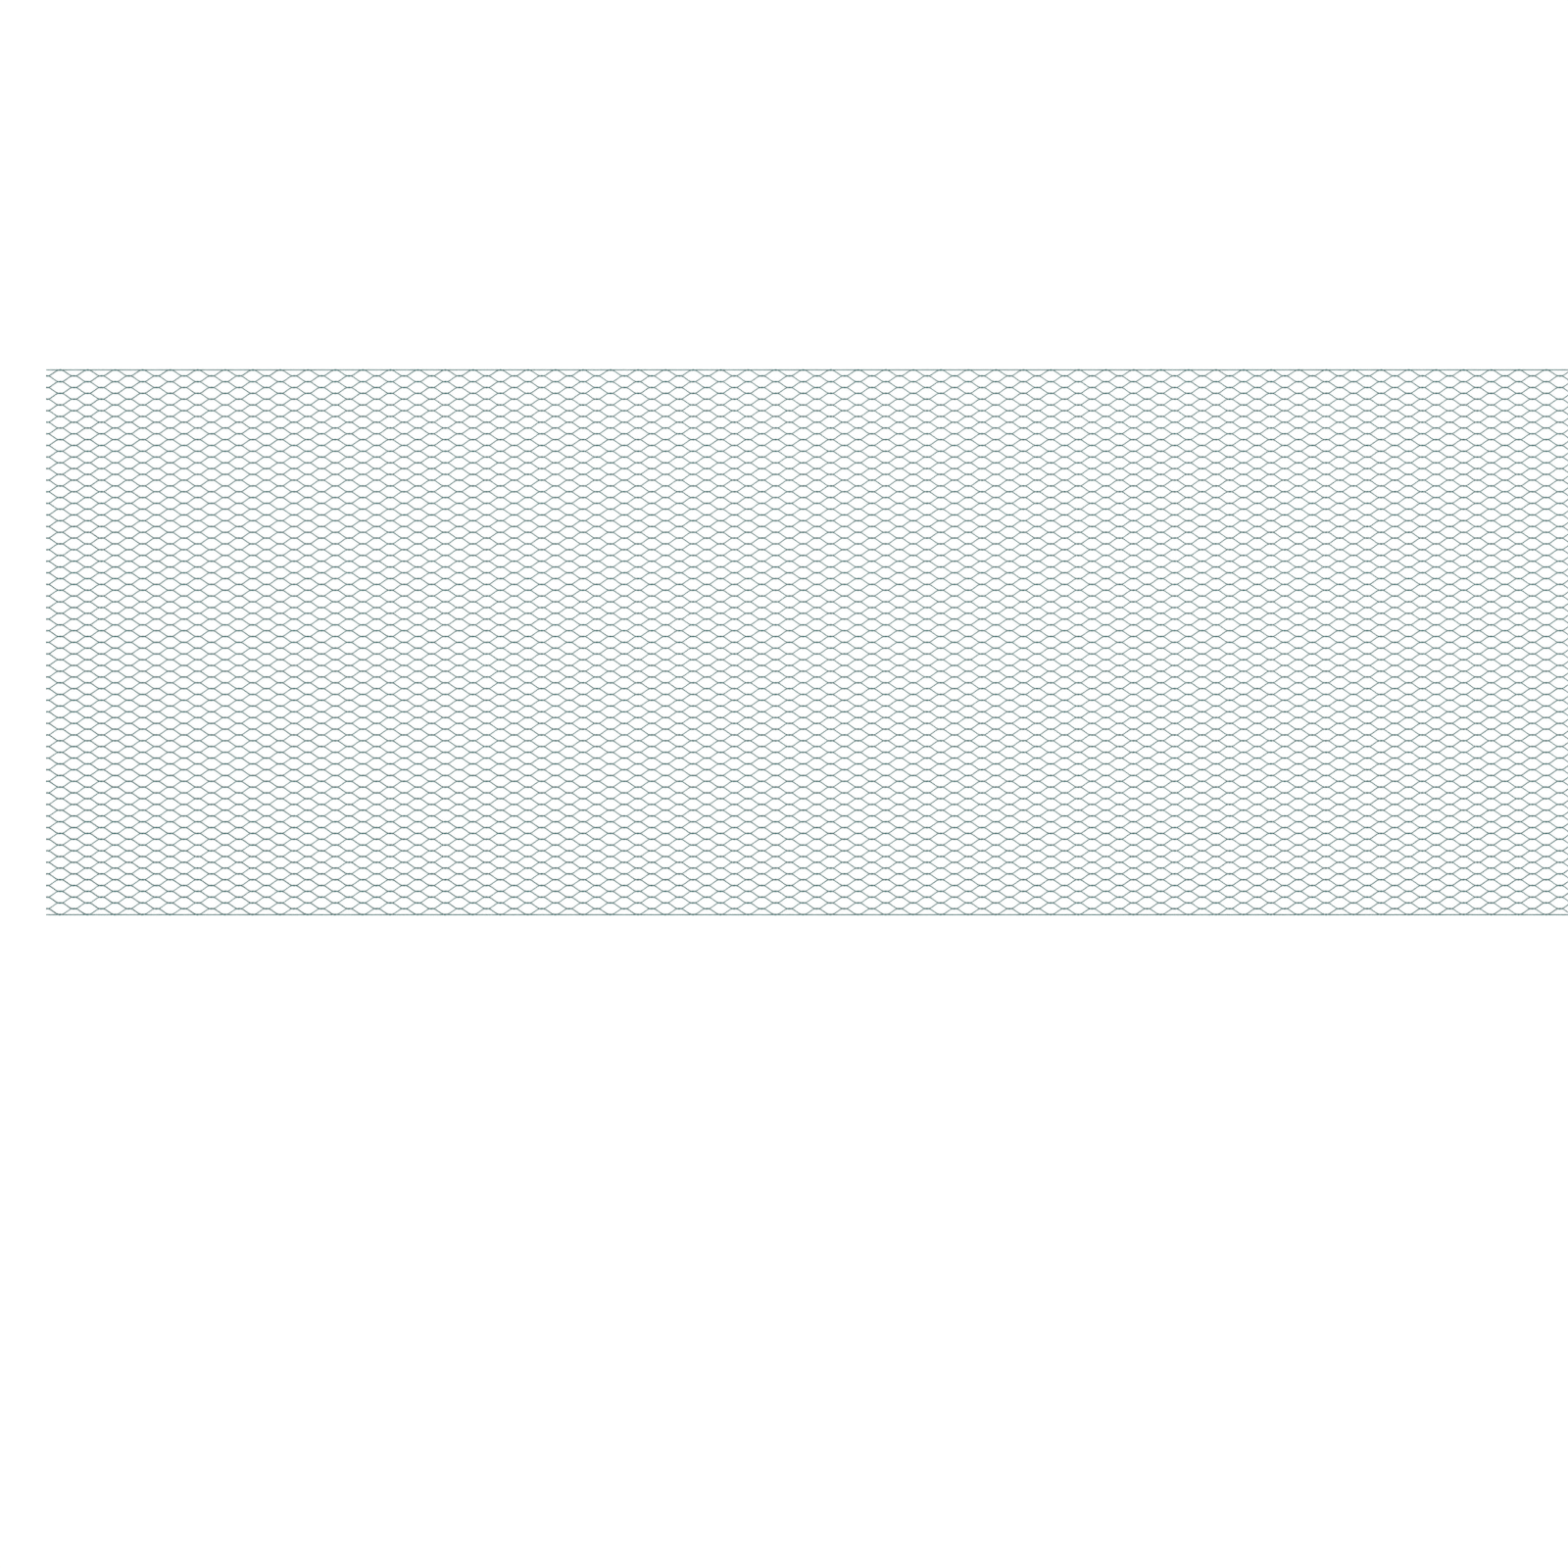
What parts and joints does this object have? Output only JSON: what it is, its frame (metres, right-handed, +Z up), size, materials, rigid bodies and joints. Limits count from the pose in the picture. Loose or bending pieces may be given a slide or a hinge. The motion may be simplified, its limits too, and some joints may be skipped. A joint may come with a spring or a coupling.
{
  "type": "chicken wire",
  "caption": "Flat length of hexagonal wire netting: twisted green plastic-coated wires with a straight selvedge wire along each long edge, for fencing in small animals.",
  "frame": {"origin": "middle of the sheet, on the surface that it lies on", "axes": "+X along the length of the roll, +Y across its width, +Z up through the thickness"},
  "size_m": [2, 0.601, 0.0018],
  "materials": {
    "coated_wire": "satin moss green plastic coat over galvanised steel wire"
  },
  "bodies": {
    "root": {"netting_front": "coated_wire", "netting_middle": "coated_wire", "netting_back": "coated_wire", "selvedge_wire_front": "coated_wire", "selvedge_wire_back": "coated_wire"}
  },
  "joints": []
}
